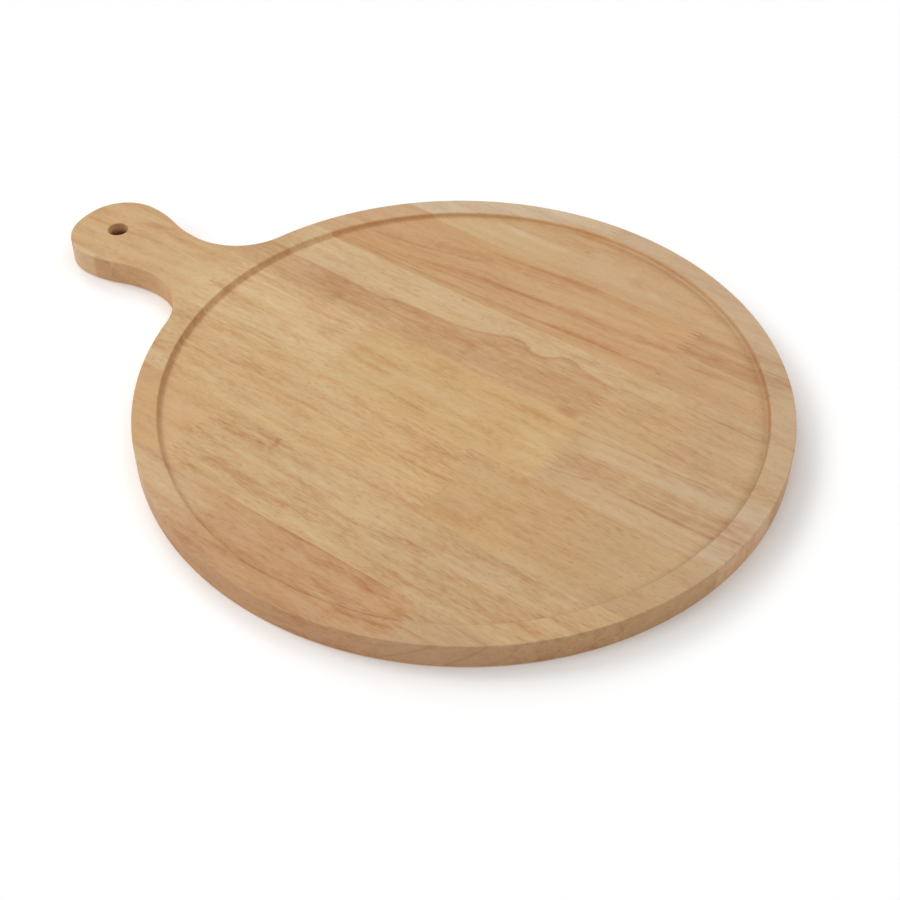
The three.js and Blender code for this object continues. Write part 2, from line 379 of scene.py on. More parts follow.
def saw_stave(lower, upper, joints, names):
    """Cut the blocks of one stave out of the board."""
    ends = [open_left, *joints, open_right]
    for index, name in enumerate(names):
        block = bpy.data.objects.new("wood_" + name, blank.data.copy())
        bpy.context.scene.collection.objects.link(block)
        carve(block, squared_block(lower, upper, ends[index], ends[index + 1]), "INTERSECT")
        block.data.shade_smooth()
        block.data.set_sharp_from_angle(angle=SMOOTH_ANGLE)
        even = block.modifiers.new("even_shading", "WEIGHTED_NORMAL")
        even.keep_sharp = True
        blocks[name] = block
        print(f"{name}: {len(block.data.polygons)} faces")


saw_stave(far_edge_seam, panel_end, [board_joint(-10)],
          ["far_edge_block_left", "far_edge_block_right"])
saw_stave(far_seam, far_edge_seam, [board_joint(75)],
          ["far_block_left", "far_block_right"])
saw_stave(upper_seam, far_seam, [waist, board_joint(63)],
          ["handle_cheek_far", "upper_block_left", "upper_block_right"])
saw_stave(lower_seam, upper_seam, [handle_joint, board_joint(-72), board_joint(66)],
          ["handle_block", "middle_block_left", "middle_block_centre", "middle_block_right"])
saw_stave(near_seam, lower_seam, [waist, board_joint(31)],
          ["handle_cheek_near", "lower_block_left", "lower_block_right"])
saw_stave(near_edge_seam, near_seam, [board_joint(-94)],
          ["near_block_left", "near_block_right"])
saw_stave(-panel_end, near_edge_seam, [board_joint(71)],
          ["near_edge_block_left", "near_edge_block_right"])
bpy.data.objects.remove(blank)

# %% [markdown]
# ## Solid wood
# Wood has its figure all through. Growth rings lie round the heart of the tree, fibres run along
# the grain, and short dark pores follow the fibres. A block shows whatever its faces cut: long
# lines on top, arches where a ring is grazed, and dots on the end grain. A picture wrapped round
# a block breaks at the edges. A texture that is worked out in space from Object coordinates goes
# round every edge as the real figure does, so the whole board uses one such figure in millimetres
# along the grain, across it and up.

# %% Helpers for node trees
def add_node(tree, kind, **settings):
    made = tree.nodes.new(kind)
    for setting, value in settings.items():
        setattr(made, setting, value)
    return made


def feed(tree, socket, value):
    """Link an output to a socket, or write a plain value on it."""
    if isinstance(value, bpy.types.NodeSocket):
        tree.links.new(value, socket)
    else:
        socket.default_value = value


def maths(tree, operation, *values, kind="ShaderNodeMath"):
    """The result of one sum."""
    made = add_node(tree, kind, operation=operation)
    for socket, value in zip(made.inputs, values):
        feed(tree, socket, value)
    return made.outputs[0]


def vector_maths(tree, operation, *values):
    return maths(tree, operation, *values, kind="ShaderNodeVectorMath")


def product(tree, first, *others):
    """Several values multiplied together."""
    for other in others:
        first = maths(tree, "MULTIPLY", first, other)
    return first


def distance(tree, one_way, other_way):
    """How far a place is from an axis, from its distances one way and the other."""
    square = product(tree, other_way, other_way)
    return maths(tree, "SQRT", maths(tree, "MULTIPLY_ADD", one_way, one_way, square))


def enlarged(tree, vector, amount):
    """A fixed vector times a number."""
    made = add_node(tree, "ShaderNodeVectorMath", operation="SCALE")
    made.inputs[0].default_value = vector
    feed(tree, made.inputs["Scale"], amount)
    return made.outputs[0]


def split(tree, vector):
    """The three numbers of a vector."""
    made = add_node(tree, "ShaderNodeSeparateXYZ")
    feed(tree, made.inputs[0], vector)
    return made.outputs


def spread(tree, value, low, high, to_low, to_high, smooth=False):
    """Map a range of values to another range, and hold it beyond the ends."""
    kind = "SMOOTHSTEP" if smooth else "LINEAR"
    made = add_node(tree, "ShaderNodeMapRange", interpolation_type=kind, clamp=True)
    for socket, setting in zip(made.inputs, (value, low, high, to_low, to_high)):
        feed(tree, socket, setting)
    return made.outputs[0]


# %% Noise and node groups
NOISE_SPAN = 4


def signed(tree, texture, detail):
    """Noise from a texture node, moved and stretched to lie mostly within -1 and 1."""
    texture.inputs["Scale"].default_value = 1
    texture.inputs["Detail"].default_value = detail
    return maths(tree, "MULTIPLY_ADD", texture.outputs["Fac"], NOISE_SPAN, -NOISE_SPAN / 2)


def noise(tree, place, grain_size, detail=0, roughness=0.5):
    """Noise in spots of a given length, width and height."""
    made = add_node(tree, "ShaderNodeTexNoise")
    feed(tree, made.inputs["Vector"], vector_maths(tree, "DIVIDE", place, grain_size))
    made.inputs["Roughness"].default_value = roughness
    return signed(tree, made, detail)


def line_noise(tree, place, detail=0):
    """Noise along a single number."""
    made = add_node(tree, "ShaderNodeTexNoise", noise_dimensions="1D")
    feed(tree, made.inputs["W"], place)
    return signed(tree, made, detail)


def new_group(name, numbers, vectors, outputs):
    """An empty node group with its sockets, and the nodes at its two ends."""
    tree = bpy.data.node_groups.new(name, "ShaderNodeTree")
    for socket in vectors:
        tree.interface.new_socket(socket, in_out="INPUT", socket_type="NodeSocketVector")
    for socket in numbers:
        tree.interface.new_socket(socket, in_out="INPUT", socket_type="NodeSocketFloat")
    for socket in outputs:
        tree.interface.new_socket(socket, in_out="OUTPUT", socket_type="NodeSocketFloat")
    given = add_node(tree, "NodeGroupInput").outputs
    return tree, given, add_node(tree, "NodeGroupOutput").inputs


# %% The figure that every block shares
WANDER_SIZE = (80, 15, 15)
WANDER = 1.2
BAND_WANDER = (0, 1.4, 0)
RING_WANDER = 2.2
BAND_SIZE = (38, 6, 6)
BAND_ROUGHNESS = 0.76
FIBRE_SIZE = (5, 0.95, 0.8)
FIBRE_SHARE = 0.42
DRIFT_SIZE = (70, 20, 20)
HUE_SIZE = (60, 9, 9)
PORE_SIZE = (3.4, 0.8, 0.8)
PORE_EDGE = 0.6
PORE_CORE = 1.15
SEED_STEP = (311, 127, 59)
FIGURE_NUMBERS = ("Seed", "Ring width", "Heart across", "Heart below", "Lean",
                  "Rings", "Fibre", "Drift")


def figure_group():
    tree, given, out = new_group(
        "wood_figure", FIGURE_NUMBERS, ["Place"], ["Tone", "Across", "Fibre", "Pores", "Hue"])
    place = vector_maths(tree, "ADD", given["Place"], enlarged(tree, SEED_STEP, given["Seed"]))
    along, across, up = split(tree, given["Place"])

    wander = noise(tree, place, WANDER_SIZE, detail=1)
    lean = maths(tree, "MULTIPLY_ADD", along, given["Lean"], given["Heart across"])
    beside = maths(tree, "SUBTRACT", across, lean)
    above = maths(tree, "ADD", up, given["Heart below"])
    ring = maths(tree, "MULTIPLY_ADD", wander, RING_WANDER, distance(tree, beside, above))
    ring_count = maths(tree, "DIVIDE", ring, given["Ring width"])
    ring_count = maths(tree, "ADD", ring_count, given["Seed"])

    waved = vector_maths(tree, "ADD", place, enlarged(tree, BAND_WANDER, wander))
    bands = noise(tree, waved, BAND_SIZE, detail=3, roughness=BAND_ROUGHNESS)
    fibre = noise(tree, waved, FIBRE_SIZE, detail=1)
    lines = maths(tree, "MULTIPLY_ADD", fibre, FIBRE_SHARE, bands)
    tone = product(tree, line_noise(tree, ring_count, detail=3), given["Rings"])
    tone = maths(tree, "MULTIPLY_ADD", lines, given["Fibre"], tone)
    tone = maths(tree, "MULTIPLY_ADD", noise(tree, place, DRIFT_SIZE), given["Drift"], tone)

    feed(tree, out["Tone"], tone)
    feed(tree, out["Across"], maths(tree, "MULTIPLY_ADD", wander, WANDER, across))
    feed(tree, out["Fibre"], fibre)
    feed(tree, out["Hue"], noise(tree, place, HUE_SIZE, detail=1))
    pores = noise(tree, place, PORE_SIZE)
    feed(tree, out["Pores"], spread(tree, pores, PORE_EDGE, PORE_CORE, 0, 1, smooth=True))
    return tree


figure = figure_group()
print(f"{figure.name}: {len(figure.nodes)} nodes")

# %% [markdown]
# ## Streaks
# What tells one block from another is its few bold marks: a dark growth line that climbs across
# it, a pale streak, a fleck, a small knot. Noise alone never puts them where they are. A streak
# here is a soft line along the grain that bends evenly through three heights, so one small group
# draws them all: where the streak starts and ends, its three heights, or only one if it is level,
# its width and its depth. Short ones are flecks, and short wide ones are blots. The depth adds to
# the tone that comes in: below zero the wood gets darker and redder, above zero it gets paler.

# %% A streak from one place along the grain to another
STREAK_NUMBERS = ("Tone", "Along", "Across", "From", "To", "Start", "Middle", "End",
                  "Width", "Depth")
STREAK_FADE = 6
SHORTEST_FADE = 0.14
LONGEST_FADE = 0.5
WIDTH_SPOT = 13
WIDTH_SWING = 0.3
STREAK_STRENGTH = 1.25
STREAK_WIDTH = 1.3


def streak_group():
    """A parabola through the three heights is the line, and its sides and ends are soft."""
    tree, given, out = new_group("wood_streak", STREAK_NUMBERS, [], ["Tone"])
    share = spread(tree, given["Along"], given["From"], given["To"], 0, 1)
    start, middle, end = given["Start"], given["Middle"], given["End"]
    ends = maths(tree, "ADD", start, end)
    bend = maths(tree, "MULTIPLY_ADD", middle, -4, product(tree, ends, 2))
    slope = maths(tree, "SUBTRACT", maths(tree, "SUBTRACT", end, start), bend)
    rise = maths(tree, "MULTIPLY_ADD", bend, share, slope)
    height = maths(tree, "MULTIPLY_ADD", rise, share, start)
    away = maths(tree, "ABSOLUTE", maths(tree, "SUBTRACT", given["Across"], height))
    spot = maths(tree, "ADD", maths(tree, "DIVIDE", given["Along"], WIDTH_SPOT), height)
    swing = maths(tree, "MULTIPLY_ADD", line_noise(tree, spot), WIDTH_SWING, 1)
    width = product(tree, given["Width"], STREAK_WIDTH, swing)
    body = spread(tree, away, 0, width, 1, 0, smooth=True)
    length = maths(tree, "SUBTRACT", given["To"], given["From"])
    fade = maths(tree, "MAXIMUM", maths(tree, "DIVIDE", STREAK_FADE, length), SHORTEST_FADE)
    fade = maths(tree, "MINIMUM", fade, LONGEST_FADE)
    fade_in = spread(tree, share, 0, fade, 0, 1, smooth=True)
    fade_out = spread(tree, share, maths(tree, "SUBTRACT", 1, fade), 1, 1, 0, smooth=True)
    mask = product(tree, fade_in, fade_out, body)
    depth = product(tree, given["Depth"], STREAK_STRENGTH)
    feed(tree, out["Tone"], maths(tree, "MULTIPLY_ADD", mask, depth, given["Tone"]))
    return tree


def streak_settings(first, last, *others):
    """Fill in the heights of a streak that is level and gives only one."""
    *heights, width, depth = others
    return first, last, *(heights * 3)[:3], width, depth


streak = streak_group()
print(f"{streak.name}: {len(streak.nodes)} nodes")

# %% [markdown]
# ## One block's wood
# The board is oiled, so it has a soft sheen and no gloss coat. The tone of the figure and its
# streaks goes through a ramp of three colours: the block's own colour in the middle, a redder
# brown on the dark side and a cream on the pale side. Pores darken it a little and sink into the
# surface, and the fibres roughen it. Cut faces are tinted: the rim lies 3 mm higher in the wood and
# has a tone of its own, and on the far blocks it is paler and greyer with a painted sheen. Painted
# shade lies on the steep sawn sides, on the near and right parts of the recess wall, warm in the
# corner by the left wall, and in the lower part of the hole; the far part of the wall has painted
# light. A block can also change tint along its length: some ends are paler or browner wood, and
# the right ends of several blocks have a painted grey sheen.

# %% The colours of one block
DARK_SHARE = (0.78, 0.59, 0.49)
PALE_SHARE = (1.11, 1.28, 1.42)


def screen_colour(red, green, blue):
    """A colour as it looks on screen, in the linear values that shaders use."""
    return [((value / 255 + 0.055) / 1.055) ** 2.4 for value in (red, green, blue)]


def tone_ramp(tree, tone, colour):
    """Dark, own and pale colour of a block, for tones from -1 to 1."""
    ramp = add_node(tree, "ShaderNodeValToRGB")
    own = screen_colour(*colour)
    feed(tree, ramp.inputs[0], spread(tree, tone, -1, 1, 0, 1))
    stops = ramp.color_ramp.elements
    stops.new(0.5)
    for stop, shares in zip(stops, (DARK_SHARE, (1, 1, 1), PALE_SHARE)):
        stop.color = [value * share for value, share in zip(own, shares)] + [1]
    return ramp.outputs[0]


def tinted(tree, amount, base, tint):
    """Multiply a colour by a tint, by some amount."""
    mix = add_node(tree, "ShaderNodeMix", data_type="RGBA", blend_type="MULTIPLY")
    feed(tree, mix.inputs[0], amount)
    feed(tree, mix.inputs[6], base)
    feed(tree, mix.inputs[7], (*tint, 1))
    return mix.outputs[2]


# %% Masks of the faces that the tools cut
FLOOR_LEVEL = floor_height / MM
RIM_LEVEL = thickness / MM
WALL_RADIUS = recess_radius / MM
RIM_TOP = (RIM_LEVEL - 0.3, RIM_LEVEL - 0.1)
RIM_START = (WALL_RADIUS, WALL_RADIUS + 1)
RECESS_END = (WALL_RADIUS + 1, WALL_RADIUS + 2)
WALL_FOOT = (FLOOR_LEVEL, FLOOR_LEVEL + 0.4)
CORNER_REACH = (WALL_RADIUS - 5, WALL_RADIUS - 1)
LEFT_HALF = (-20, 20)
RIGHT_HALF = (20, 140)
FAR_HALF = (-50, 60)
NEAR_END = (-140, -100)
RIGHT_END = (-60, 0)
STEEPNESS = (0.3, 0.8)


def cut_faces(tree, axes):
    """Masks of the rim, the recess wall in three parts, its corner and the sawn sides."""
    along, across, up = axes
    away = distance(tree, across, along)
    top = spread(tree, up, *RIM_TOP, 0, 1)
    # The rim mask carries the rim's own tone and, on the far blocks, a painted sheen.
    rim = product(tree, spread(tree, away, *RIM_START, 0, 1), top)
    inside = spread(tree, away, *RECESS_END, 1, 0)
    sunk = product(tree, inside, maths(tree, "SUBTRACT", 1, top))
    wall = product(tree, sunk, spread(tree, up, *WALL_FOOT, 0, 1))
    left = spread(tree, along, *LEFT_HALF, 1, 0)
    left_wall = product(tree, wall, left)
    # The three parts of the wall get painted shade (near, right) and painted light (far).
    near_wall = product(tree, left_wall, spread(tree, across, *FAR_HALF, 1, 0),
                        spread(tree, across, *NEAR_END, 0, 1))
    far_wall = product(tree, left_wall, spread(tree, across, *FAR_HALF, 0, 1))
    right_wall = product(tree, wall, spread(tree, along, *RIGHT_HALF, 0, 1),
                         spread(tree, across, *RIGHT_END, 0, 1))
    # Where the warm painted shade by the left wall goes.
    corner = spread(tree, away, *CORNER_REACH, 0, 1, smooth=True)
    corner = product(tree, corner, sunk, left)
    # Steep faces outside the recess take painted shade.
    normal = split(tree, add_node(tree, "ShaderNodeNewGeometry").outputs["Normal"])
    steep = spread(tree, maths(tree, "ABSOLUTE", normal[2]), *STEEPNESS, 1, 0)
    side = product(tree, steep, maths(tree, "SUBTRACT", 1, inside))
    return rim, near_wall, far_wall, right_wall, corner, side


print(f"recess wall {WALL_RADIUS:.1f} mm from the middle, floor {FLOOR_LEVEL:.1f} mm up")

# %% The depth of the hanging hole
BORE_ALONG = cos(PANEL_SKEW) * hole_place.x / MM
BORE_ACROSS = -sin(PANEL_SKEW) * hole_place.x / MM
BORE_WALL = (HOLE_RADIUS / MM + 0.3, HOLE_RADIUS / MM + 0.6)
BORE_SHADE_TOP = (7, 11.5)


# The lower part of the hole is painted dark as shade.
def bore_depth(tree, axes):
    """How deep in the hole a place is: none at its mouth, all of it below the middle."""
    along, across, up = axes
    beside = maths(tree, "SUBTRACT", along, BORE_ALONG)
    aside = maths(tree, "SUBTRACT", across, BORE_ACROSS)
    wall = spread(tree, distance(tree, beside, aside), *BORE_WALL, 1, 0)
    return product(tree, wall, spread(tree, up, *BORE_SHADE_TOP, 1, 0, smooth=True))


# %% A brown bay with a wavy border
BAY_START = -160
BAY_LENGTH = 230
BAY_LOW = 16
BAY_RISE = 44
BAY_DEPTH = -0.52
BAY_RIM = -0.28
BAY_CALM = 0.8
BAY_RAGGED = 2.5
BAY_BORDER = (-0.6, 1.4)
BAY_RIM_WIDTH = (0.5, 5)
BAY_FOOT = (BAY_LOW, BAY_LOW + 9)
BAY_FOOT_SHARE = 0.5


def bay_tone(tree, tone, along, across, shore):
    """Darken the wood on the near side of a wavy border, and most of all along it."""
    curve = add_node(tree, "ShaderNodeFloatCurve")
    line = curve.mapping.curves[0]
    spots = []
    for place, height in shore:
        spots.append(((place - BAY_START) / BAY_LENGTH, (height - BAY_LOW) / BAY_RISE))
    for spot in spots[1:-1]:
        line.points.new(*spot)
    for point, spot in zip((line.points[0], line.points[-1]), (spots[0], spots[-1])):
        point.location = spot
    curve.mapping.update()
    share = spread(tree, along, BAY_START, BAY_START + BAY_LENGTH, 0, 1)
    feed(tree, curve.inputs["Value"], share)
    border = maths(tree, "MULTIPLY_ADD", curve.outputs[0], BAY_RISE, BAY_LOW)
    inside = maths(tree, "SUBTRACT", border, across)
    inside = maths(tree, "MULTIPLY_ADD", tone, BAY_RAGGED, inside)
    body = spread(tree, inside, *BAY_BORDER, 0, 1, smooth=True)
    rim = spread(tree, inside, *BAY_RIM_WIDTH, 1, 0, smooth=True)
    low = spread(tree, across, *BAY_FOOT, BAY_FOOT_SHARE, 1, smooth=True)
    depth = product(tree, maths(tree, "MULTIPLY_ADD", rim, BAY_RIM, BAY_DEPTH), low)
    calm = product(tree, tone, spread(tree, body, 0, 1, 1, BAY_CALM))
    return maths(tree, "MULTIPLY_ADD", body, depth, calm)


# %% Build the wood of one block
PORE_TINT = (0.78, 0.6, 0.48)
YELLOW_TINT = (1.02, 1, 0.92)
# Painted shade on the near and right parts of the recess wall, painted light on its far part.
NEAR_WALL_SHADE_TINT = (0.79, 0.69, 0.64)
FAR_WALL_LIGHT_TINT = (1.08, 1.03, 0.98)
RIGHT_WALL_SHADE_TINT = (0.82, 0.76, 0.72)
# A warm painted shade on the recess floor by the left wall.
CORNER_WARM_SHADE_TINT = (1.02, 0.985, 0.96)
# Painted shade on the steep sawn sides, darker and redder.
SIDE_SHADE_TINT = (0.965, 0.89, 0.87)
# Painted shade in the lower part of the hanging hole.
BORE_SHADE_TINT = (0.36, 0.28, 0.21)
FIBRE_SPAN = (-1.5, 1.5)
SHEEN_ROUGHNESS = (0.46, 0.62)
SPECULAR = 0.15
FIBRE_RELIEF = 0.25
PORE_RELIEF = -0.8
RELIEF = 0.03 * MM


def make_wood(name, colour, figure_settings, pores=0.3, tilt=0.2, streaks=(), shore=(),
              rim=(1, 1, 1), side=SIDE_SHADE_TINT, fading=(), bored=False):
    """The figure's settings follow the order of FIGURE_NUMBERS."""
    material = bpy.data.materials.new("wood_" + name)
    material.use_nodes = True
    tree = material.node_tree
    shader = tree.nodes["Principled BSDF"]
    panel = add_node(tree, "ShaderNodeMapping")
    panel.inputs["Scale"].default_value = [1 / MM] * 3
    panel.inputs["Rotation"].default_value = (0, 0, -PANEL_SKEW)
    feed(tree, panel.inputs["Vector"], add_node(tree, "ShaderNodeTexCoord").outputs["Object"])
    shared = add_node(tree, "ShaderNodeGroup", node_tree=figure)
    feed(tree, shared.inputs["Place"], panel.outputs[0])
    for socket, value in zip(FIGURE_NUMBERS, figure_settings):
        shared.inputs[socket].default_value = value

    axes = split(tree, panel.outputs[0])
    along = axes[0]
    below = maths(tree, "SUBTRACT", FLOOR_LEVEL, axes[2])
    across = maths(tree, "MULTIPLY_ADD", below, tilt, shared.outputs["Across"])
    tone = shared.outputs["Tone"]
    for settings in streaks:
        mark = add_node(tree, "ShaderNodeGroup", node_tree=streak)
        values = (tone, along, across, *streak_settings(*settings))
        for socket, value in zip(STREAK_NUMBERS, values):
            feed(tree, mark.inputs[socket], value)
        tone = mark.outputs["Tone"]
    if shore:
        tone = bay_tone(tree, tone, along, across, shore)

    holes = product(tree, shared.outputs["Pores"], pores)
    shown = tinted(tree, holes, tone_ramp(tree, tone, colour), PORE_TINT)
    hue = spread(tree, shared.outputs["Hue"], -1, 1, 0, 1)
    shown = tinted(tree, hue, shown, YELLOW_TINT)
    # The rim tint is the wood's own tone at the rim and, on the far blocks, also a painted sheen;
    # the other tints are painted light and shade.
    tints = (rim, NEAR_WALL_SHADE_TINT, FAR_WALL_LIGHT_TINT, RIGHT_WALL_SHADE_TINT, CORNER_WARM_SHADE_TINT, side)
    for amount, tint in zip(cut_faces(tree, axes), tints):
        shown = tinted(tree, amount, shown, tint)
    # Tints along a block: some ends are the wood's own paler or browner tone, others a painted grey
    # sheen.
    for start, end, end_tint in fading:
        amount = spread(tree, along, start, end, 0, 1, smooth=True)
        shown = tinted(tree, amount, shown, end_tint)
    if bored:
        shown = tinted(tree, bore_depth(tree, axes), shown, BORE_SHADE_TINT)
    feed(tree, shader.inputs["Base Color"], shown)

    fibre = shared.outputs["Fibre"]
    roughness = spread(tree, fibre, *FIBRE_SPAN, *SHEEN_ROUGHNESS)
    feed(tree, shader.inputs["Roughness"], roughness)
    shader.inputs["Specular IOR Level"].default_value = SPECULAR
    bump = add_node(tree, "ShaderNodeBump")
    bump.inputs["Distance"].default_value = RELIEF
    raised = product(tree, fibre, FIBRE_RELIEF)
    relief = maths(tree, "MULTIPLY_ADD", shared.outputs["Pores"], PORE_RELIEF, raised)
    feed(tree, bump.inputs["Height"], relief)
    feed(tree, shader.inputs["Normal"], bump.outputs[0])
    return material


# %% Give a block its wood
def dress(name, slot, colour, figure_settings, **details):
    block = blocks[name]
    block.data.materials.clear()
    block.data.materials.append(make_wood(name, colour, figure_settings, **details))
    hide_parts(name)
    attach(block, "root")
    print(f"{name}: {len(details.get('streaks', ()))} streaks")


# %% [markdown]
# ## The far edge stave
# Two pale blocks meet at a finger joint near the middle. The left one has a cream streak that
# stops dead at the joint, with a small knot above its end. The right one is cut nearly flat to
# the rings, so faint arches cross it.

# %% Wood of the far edge stave
# On the far staves the pale, grey rim tint is mostly a painted sheen.
dress("far_edge_block_left", "pale_wood", (203, 171, 131), (1.3, 7, -60, 30, 0, 0.14, 0.35, 0.2),
      rim=(1.04, 1.15, 1.42), fading=[(-75, -15, (0.96, 0.89, 0.85))], streaks=[
          (-78, -4, 138.2, 138.6, 138.4, 2.2, 0.34),
          (-62, -28, 135.8, 136.2, 136, 1.1, 0.2),
          (-76, -20, 142, 141.8, 142, 1.8, -0.2),
          (-17, -11, 145, 1.9, -0.4),
          (-70, -8, 151, 151.5, 151, 4, -0.08),
      ])
dress("far_edge_block_right", "pale_wood", (199, 162, 123), (2.7, 8, 60, 40, 0, 0.1, 0.35, 0.15),
      rim=(1, 1.11, 1.3), streaks=[
          (8, 42, 151, 140, 120, 5, -0.1),
          (25, 45, 139, 134.5, 131, 3, 0.2),
          (6, 27, 152, 147, 138, 4, 0.1),
          (48, 66, 141, 131, 120, 7, -0.08),
          (-24, 24, 138, 10, 0.22),
      ])

# %% [markdown]
# ## The far stave
# The left block is the boldest on the board: orange-brown growth lines climb across it from the
# handle's side, and a dark line runs along its lower edge to a knot beside the joint. The right
# block has straight red-brown bands.

# %% Wood of the far stave
# The pale, grey rim tints of these blocks are mostly a painted sheen.
dress("far_block_left", "golden_wood", (200, 159, 117), (3.1, 5, -90, 25, 0.13, 0.16, 0.3, 0.12),
      rim=(1.03, 1.11, 1.28), streaks=[
          (-135, -56, 87.5, 92, 101.5, 1.7, -0.4),
          (-104, 20, 94.5, 109, 117.5, 4.8, -0.34),
          (-64, 50, 110.5, 116, 117, 2.4, -0.22),
          (-62, -4, 102, 105.5, 109.5, 1.3, -0.2),
          (-110, 90, 78, 90, 96, 2.7, -0.34),
          (-57, 8, 87.5, 89.5, 93, 2, -0.2),
          (-146, 90, 75.6, 80.8, 88, 1.2, -0.22),
          (-140, -78, 73, 74, 73.2, 1, -0.28),
          (-140, 90, 69.8, 72.8, 79.6, 1.2, -0.34),
          (-2, 54, 75, 76.6, 77.8, 1.3, -0.4),
          (-87, -23, 69, 70.5, 71.5, 0.8, -0.22),
          (0, 64, 98, 100.5, 101, 3, 0.18),
          (-8, 52, 110, 110.5, 109, 2.6, 0.16),
          (73.6, 78.4, 75.6, 75.6, 75.4, 1.3, -0.9),
      ])
dress("far_block_right", "pink_wood", (194, 155, 116), (4.9, 4, -200, 10, 0, 0.1, 0.38, 0.12),
      rim=(0.99, 1.12, 1.28), streaks=[
          (50, 190, 116.5, 116.6, 116, 2.4, -0.45),
          (50, 190, 107.6, 107.5, 108.5, 1.4, -0.32),
          (50, 190, 101, 101.4, 102.3, 4.6, -0.42),
          (66, 190, 80, 20, 0.12),
          (82, 114, 110.5, 110.8, 110.8, 1.2, 0.22),
          (78, 127, 95.6, 95.8, 96, 1.7, 0.28),
          (79, 142, 88.3, 91.3, 90.8, 1.3, -0.36),
          (106, 137, 77.5, 77.8, 77.5, 0.7, -0.18),
          (50, 190, 113.5, 113.4, 113.5, 0.9, -0.14),
      ])

# %% [markdown]
# ## The upper stave
# The left block is half pale and half brown, with a wavy border where a flat cut grazes one ring.
# The right block is tan with many short red-brown pores. The stave goes on past the waist as the
# far cheek of the handle.

# %% Wood of the upper stave
dress("upper_block_left", "pale_wood", (206, 174, 134), (5.2, 6, -60, 30, 0, 0.06, 0.5, 0.1),
      pores=0.35, streaks=[
          (-190, -110, 28.2, 28, 28, 1, -0.3),
          (43, 62, 20.3, 3.4, -0.5),
          (8, 24, 45, 44.5, 45, 0.8, 0.4),
          (10, 28, 42, 41.5, 42, 0.8, 0.36),
          (-40, 0, 31, 37, 47, 2, -0.18),
          (-90, -50, 62, 10, 0.1),
          (-160, -125, 56, 16, 0.12),
          (-20, 30, 62, 61, 60, 8, -0.1),
          (-24, -15, 27, 9, -0.2),
          (-113, -102, 25, 24, 23, 6, -0.3),
          (-87, -28, 33, 31, 33, 1.1, -0.18),
          (-67, -33, 31.5, 33, 36, 1, -0.22),
          (-48.5, -44.5, 63.5, 1.1, -0.5),
          (-88.5, -83.5, 47.5, 1.1, -0.4),
          (26, 76, 59, 58, 57, 8, -0.2),
      ],
      shore=[(-160, 40), (-120, 41), (-85, 39), (-78, 41.5), (-60, 42.5), (-40, 43.5), (-25, 46.5),
             (-15, 50.5), (0, 55.5), (7, 53), (14, 51), (22, 53), (31, 57), (40, 54), (50, 52),
             (70, 50)])
# The cool tint toward its right end is a painted grey sheen.
dress("upper_block_right", "golden_wood", (199, 163, 122), (6.4, 5, -80, 20, 0, 0.1, 0.52, 0.14),
      rim=(0.99, 1.03, 1.1), fading=[(90, 140, (0.95, 0.97, 1.02))], pores=0.4, streaks=[
          (62, 152, 60.6, 60.4, 59.8, 1, -0.28),
          (58, 94, 52.3, 52.5, 52.5, 0.9, -0.26),
          (62, 154, 44, 43.8, 44.5, 0.9, -0.22),
          (93, 112, 65.5, 65.5, 66.5, 0.9, -0.3),
          (76, 100, 35, 34, 30, 6, -0.1),
          (93, 175, 20, 20.5, 21, 3, 0.12),
          (50, 90, 58, 9, 0.2),
      ])
dress("handle_cheek_far", "pink_wood", (200, 161, 120), (7.7, 5, -60, 20, 0, 0.14, 0.35, 0.14))

# %% [markdown]
# ## The middle stave and the handle
# The handle and the middle of the board are one stave in four blocks. Those on the left are the
# most golden of all, with cream streaks. The block on the right has rust lines that close in a
# long loop at the joint.

# %% Wood of the middle stave
dress("handle_block", "golden_wood", (207, 171, 129), (8.3, 6, -110, 30, 0.12, 0.14, 0.42, 0.16),
      pores=0.35, bored=True, streaks=[
          (-246, -219, 6, 10, 15, 2.8, -0.28),
          (-282, -216, -9.6, -5.5, -0.4, 2.2, -0.28),
          (-200, -160, 3, 7, 12.5, 4.5, -0.2),
          (-290, -185, -30.6, -31, -31, 0.9, -0.2),
          (-200, -160, -8, 40, 0.14),
          (-184, -160, -8, 40, 0.12),
      ])
dress("middle_block_left", "golden_wood", (211, 178, 135), (9.6, 7, -120, 30, 0, 0.1, 0.62, 0.16),
      streaks=[
          (-190, -126, -18.5, -18.6, -18.8, 1.8, 0.3),
          (-134, -98, -20.2, -20.8, -20.5, 1.3, 0.28),
          (-165, -113, 8.6, 8.2, 8.4, 1, 0.25),
          (-114, -74, 4, 4.5, 4, 1.3, 0.2),
          (-97, -68, -17, 1.5, 0.22),
          (-165, -72, -29.5, -30.5, -30, 2.3, -0.18),
          (-170, -98, -11.5, -11, -12, 0.9, -0.14),
          (-122, -103, -13, 2.6, -0.16),
          (-162, -133, 13, 12.5, 12, 1.6, -0.14),
          (-102, -78, 12.5, 12.3, 12, 1.1, -0.14),
          (-120, -60, -8, 40, -0.08),
          (-180, -158, -8, 40, -0.1),
          (-98, -60, -8, 40, -0.1),
      ])
dress("middle_block_centre", "golden_wood", (203, 166, 120), (10.4, 7, -120, 30, 0, 0.1, 0.6, 0.18),
      streaks=[
          (-82, -3, -26.4, -23.2, -25.5, 1.1, -0.34),
          (-78, -40, -7, -11, -12, 4.2, -0.22),
          (-70, -48, -12.5, -12, -11.5, 2, -0.16),
          (-2, 80, 8, 6.5, 7, 6.5, -0.16),
          (13, 47, -15, -18.5, -24, 4.2, -0.18),
          (31, 64, -6, -9, -12, 4.2, 0.18),
          (40, 72, -26, -24, -22, 4.2, 0.14),
          (-62, -36, 4, 4, 3.5, 1.7, 0.22),
          (-80, -60, 2, 3, 1, 3, 0.18),
          (-80, -30, -8, 40, 0.07),
          (-80, -52, -8, 40, 0.09),
          (36, 76, -14, 16, 0.1),
      ])
